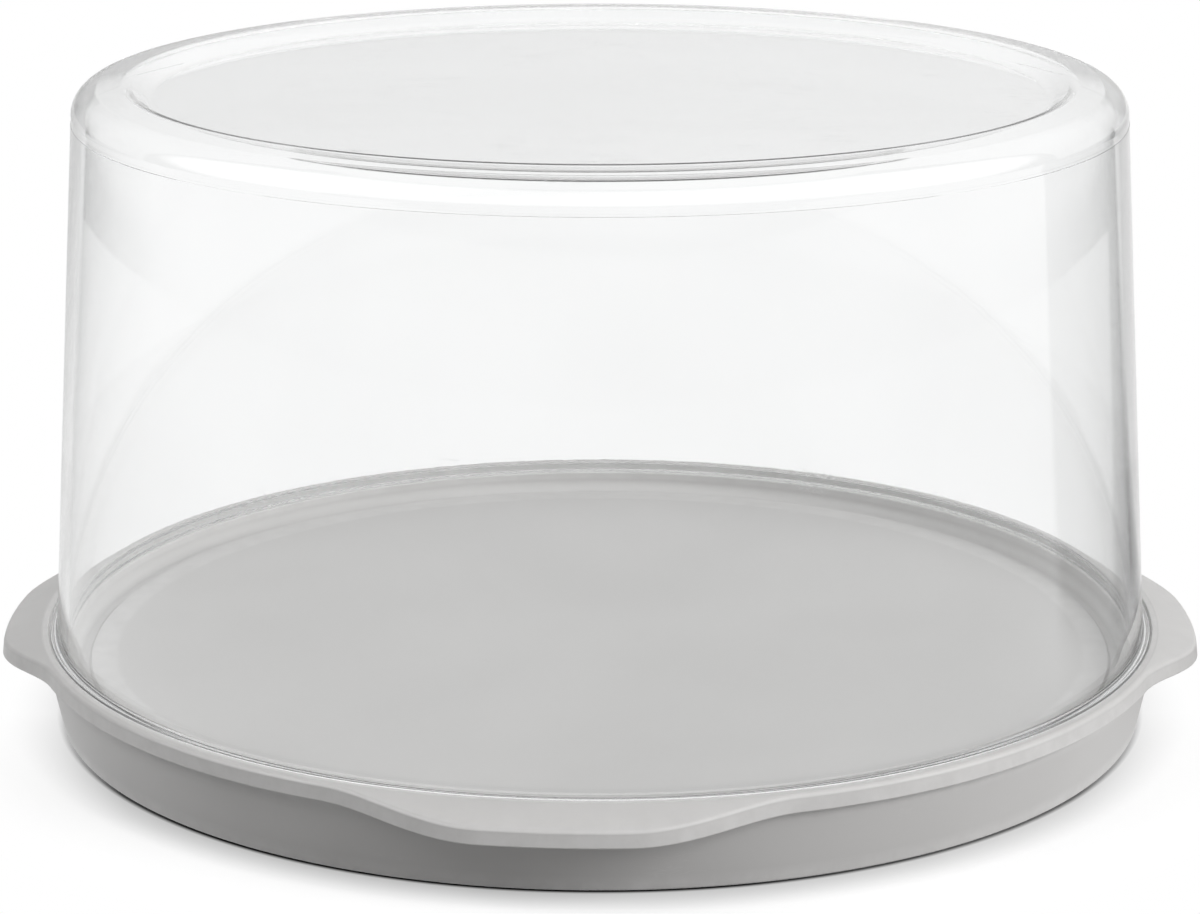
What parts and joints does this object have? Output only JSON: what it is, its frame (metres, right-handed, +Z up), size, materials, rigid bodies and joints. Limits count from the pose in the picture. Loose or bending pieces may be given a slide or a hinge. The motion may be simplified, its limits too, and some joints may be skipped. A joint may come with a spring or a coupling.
{
  "type": "pie container",
  "caption": "Round pie container with a shallow moulded tray, tab handles and a tall clear cover that lifts straight off.",
  "frame": {"origin": "on the surface that the tray stands on, at the centre of the round body", "axes": "+Z up along the turning axis of the tray and the cover, +X to the right handle, -Y to the front handle"},
  "size_m": [0.3316, 0.3316, 0.1748],
  "materials": {
    "tray": "fine satin, warm light grey",
    "cover": "clear, polished"
  },
  "bodies": {
    "tray": {"tray": "tray"},
    "cover": {"cover": "cover"}
  },
  "joints": [
    {"name": "cover_lift", "type": "slide", "parent": "tray", "child": "cover", "axis": [0, 0, 1], "range_m": [0, 0.18]}
  ]
}
